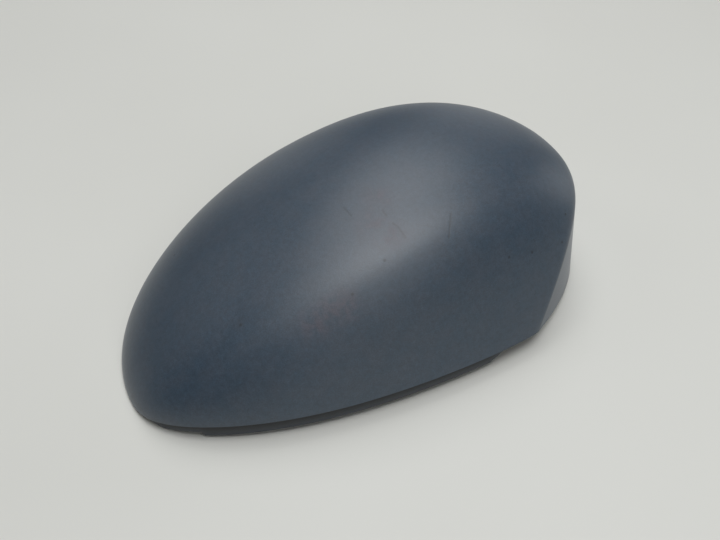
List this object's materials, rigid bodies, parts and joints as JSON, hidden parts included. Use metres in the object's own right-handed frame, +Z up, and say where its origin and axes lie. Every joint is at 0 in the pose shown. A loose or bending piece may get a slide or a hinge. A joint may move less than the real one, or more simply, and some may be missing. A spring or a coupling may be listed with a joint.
{
  "type": "wing mirror cover",
  "caption": "One-piece moulded cap for the back of a door mirror, with a creased front face, stepped lip, snap hooks and locating pegs.",
  "frame": {"origin": "middle of the cover's plan at the height of the rim's foot", "axes": "+X from the narrow tip to the wide end, -Y to the front face with the lip, +Z up out of the crown; the open side looks down"},
  "size_m": [0.225, 0.1496, 0.0723],
  "materials": {
    "primer": "matt blue-grey primer on moulded plastic"
  },
  "bodies": {
    "root": {"mirror_cover": "primer"}
  },
  "joints": []
}
